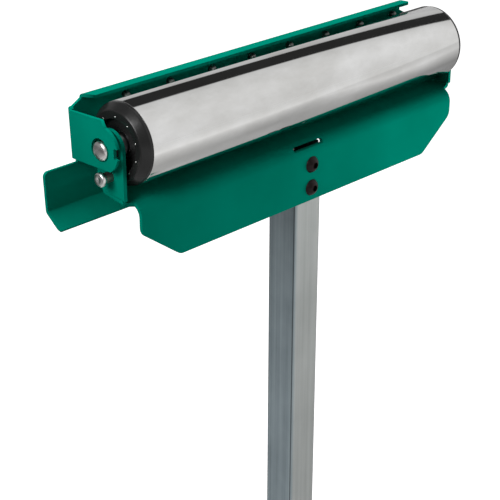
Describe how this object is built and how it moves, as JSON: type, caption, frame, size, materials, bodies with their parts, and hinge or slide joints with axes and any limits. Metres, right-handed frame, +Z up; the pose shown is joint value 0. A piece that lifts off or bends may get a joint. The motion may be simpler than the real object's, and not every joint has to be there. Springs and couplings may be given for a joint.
{
  "type": "roller stand",
  "caption": "Height-adjustable workshop stand: a chromed roller in a folded sheet bracket on a telescoping square post with an H base, and a ball rail behind it that swings over.",
  "frame": {"origin": "floor level under the centre of the post", "axes": "+Z up the post; +X along the roller to the end that is away from the camera; -Y out of the front plate"},
  "size_m": [0.455, 0.448, 0.9518],
  "materials": {
    "green_paint": "smooth semi-gloss green powder coat",
    "zinc": "bright zinc plate",
    "steel": "bright steel",
    "chrome": "polished chrome plate",
    "ball_steel": "polished hardened steel",
    "black_screw": "black oxide",
    "black_plastic": "smooth black moulding",
    "brass": "plain brass",
    "rubber": "matt black rubber"
  },
  "bodies": {
    "base": {"foot_tube_left": "green_paint", "foot_tube_right": "green_paint", "foot_end_caps": "black_plastic", "foot_pads": "rubber", "foot_bolts": "zinc", "foot_washers": "zinc", "foot_nuts": "zinc", "cross_tube": "green_paint", "cross_end_plates": "green_paint", "post_gussets": "green_paint", "outer_post": "green_paint", "post_collar": "black_plastic", "clamp_boss": "zinc"},
    "clamp_pad": {"clamp_pad": "brass"},
    "clamp_screw": {"clamp_stud": "zinc", "clamp_knob": "black_plastic"},
    "mast": {"inner_post": "zinc", "glide_shoe": "black_plastic", "nut_bar": "zinc", "head_screws": "black_screw", "head_bracket": "green_paint", "index_pin": "steel", "axle": "steel", "axle_spacers": "zinc", "push_washers": "black_plastic", "bearing_inner_rings": "steel"},
    "roller": {"bearing_outer_rings": "steel", "bearing_balls": "steel", "bearing_shields": "steel", "roller_tube": "chrome", "end_cap_left": "black_plastic", "end_cap_right": "black_plastic", "cap_pins": "steel"},
    "rail": {"ball_rail": "green_paint", "rail_rivets": "zinc", "ball_cups": "zinc", "ball_retainers": "steel", "support_balls": "steel"},
    "ball_1": {"ball_1": "ball_steel"},
    "ball_2": {"ball_2": "ball_steel"},
    "ball_3": {"ball_3": "ball_steel"},
    "ball_4": {"ball_4": "ball_steel"},
    "ball_5": {"ball_5": "ball_steel"},
    "ball_6": {"ball_6": "ball_steel"},
    "ball_7": {"ball_7": "ball_steel"},
    "ball_8": {"ball_8": "ball_steel"}
  },
  "joints": [
    {"name": "mast_slide", "type": "slide", "parent": "base", "child": "mast", "axis": [0, 0, 1], "range_m": [-0.25, 0.13]},
    {"name": "roller_spin", "type": "hinge", "parent": "mast", "child": "roller", "pos_m": [0, 0.0035, 0.92], "axis": [1, 0, 0], "continuous": true},
    {"name": "rail_swing", "type": "hinge", "parent": "mast", "child": "rail", "pos_m": [0, 0.0035, 0.92], "axis": [1, 0, 0], "range_deg": [0, 92.5]},
    {"name": "clamp_advance", "type": "slide", "parent": "base", "child": "clamp_pad", "axis": [0, 1, 0], "range_m": [0, 0.0015]},
    {"name": "clamp_turn", "type": "hinge", "parent": "clamp_pad", "child": "clamp_screw", "pos_m": [0, 0.03, 0.463], "axis": [0, 1, 0], "range_deg": [0, 360]},
    {"name": "ball_1_spin", "type": "hinge", "parent": "rail", "child": "ball_1", "pos_m": [-0.1475, 0.05305, 0.91784], "axis": [1, 0, 0], "continuous": true},
    {"name": "ball_2_spin", "type": "hinge", "parent": "rail", "child": "ball_2", "pos_m": [-0.1025, 0.05305, 0.91784], "axis": [1, 0, 0], "continuous": true},
    {"name": "ball_3_spin", "type": "hinge", "parent": "rail", "child": "ball_3", "pos_m": [-0.0575, 0.05305, 0.91784], "axis": [1, 0, 0], "continuous": true},
    {"name": "ball_4_spin", "type": "hinge", "parent": "rail", "child": "ball_4", "pos_m": [-0.0125, 0.05305, 0.91784], "axis": [1, 0, 0], "continuous": true},
    {"name": "ball_5_spin", "type": "hinge", "parent": "rail", "child": "ball_5", "pos_m": [0.0325, 0.05305, 0.91784], "axis": [1, 0, 0], "continuous": true},
    {"name": "ball_6_spin", "type": "hinge", "parent": "rail", "child": "ball_6", "pos_m": [0.0775, 0.05305, 0.91784], "axis": [1, 0, 0], "continuous": true},
    {"name": "ball_7_spin", "type": "hinge", "parent": "rail", "child": "ball_7", "pos_m": [0.1225, 0.05305, 0.91784], "axis": [1, 0, 0], "continuous": true},
    {"name": "ball_8_spin", "type": "hinge", "parent": "rail", "child": "ball_8", "pos_m": [0.1675, 0.05305, 0.91784], "axis": [1, 0, 0], "continuous": true}
  ],
  "couplings": [
    {"joint": "clamp_advance", "follows": "clamp_turn", "m_per_rad": 0.00023873}
  ]
}
